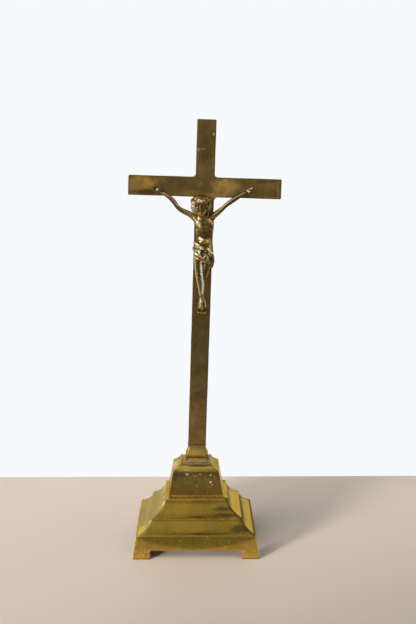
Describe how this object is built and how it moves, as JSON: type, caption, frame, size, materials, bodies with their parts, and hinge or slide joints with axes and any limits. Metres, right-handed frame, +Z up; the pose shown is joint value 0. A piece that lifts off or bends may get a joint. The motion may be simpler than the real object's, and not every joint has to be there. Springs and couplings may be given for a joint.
{
  "type": "standing crucifix",
  "caption": "Standing brass altar crucifix: a flat Latin cross with a cast figure, on a hollow stepped base with bracket feet. It stands free on a table or shelf.",
  "frame": {"origin": "middle of the whole part's box at table level; the base's middle lies 6.7 mm to -X of it, because the cross leans towards +X and stands 0.8 mm off the base's middle", "axes": "+Z up along the height, -Y is the front that the figure faces, +X the viewer's right"},
  "size_m": [0.11, 0.0904, 0.3103],
  "materials": {
    "base_brass": "aged, rubbed bright on the sides",
    "cross_brass": "dark brown patina with coppery rubbed patches",
    "corpus_brass": "worn bright on the high points, dark in the hollows",
    "nail_brass": "worn",
    "fixing_steel": "plain"
  },
  "bodies": {
    "root": {"base_casting": "base_brass", "plinth_casting": "base_brass", "cross": "cross_brass", "corpus": "corpus_brass", "right_hand_nail": "nail_brass", "left_hand_nail": "nail_brass", "feet_nail": "nail_brass", "tie_stud": "fixing_steel", "washer": "fixing_steel", "nut": "fixing_steel"}
  },
  "joints": []
}
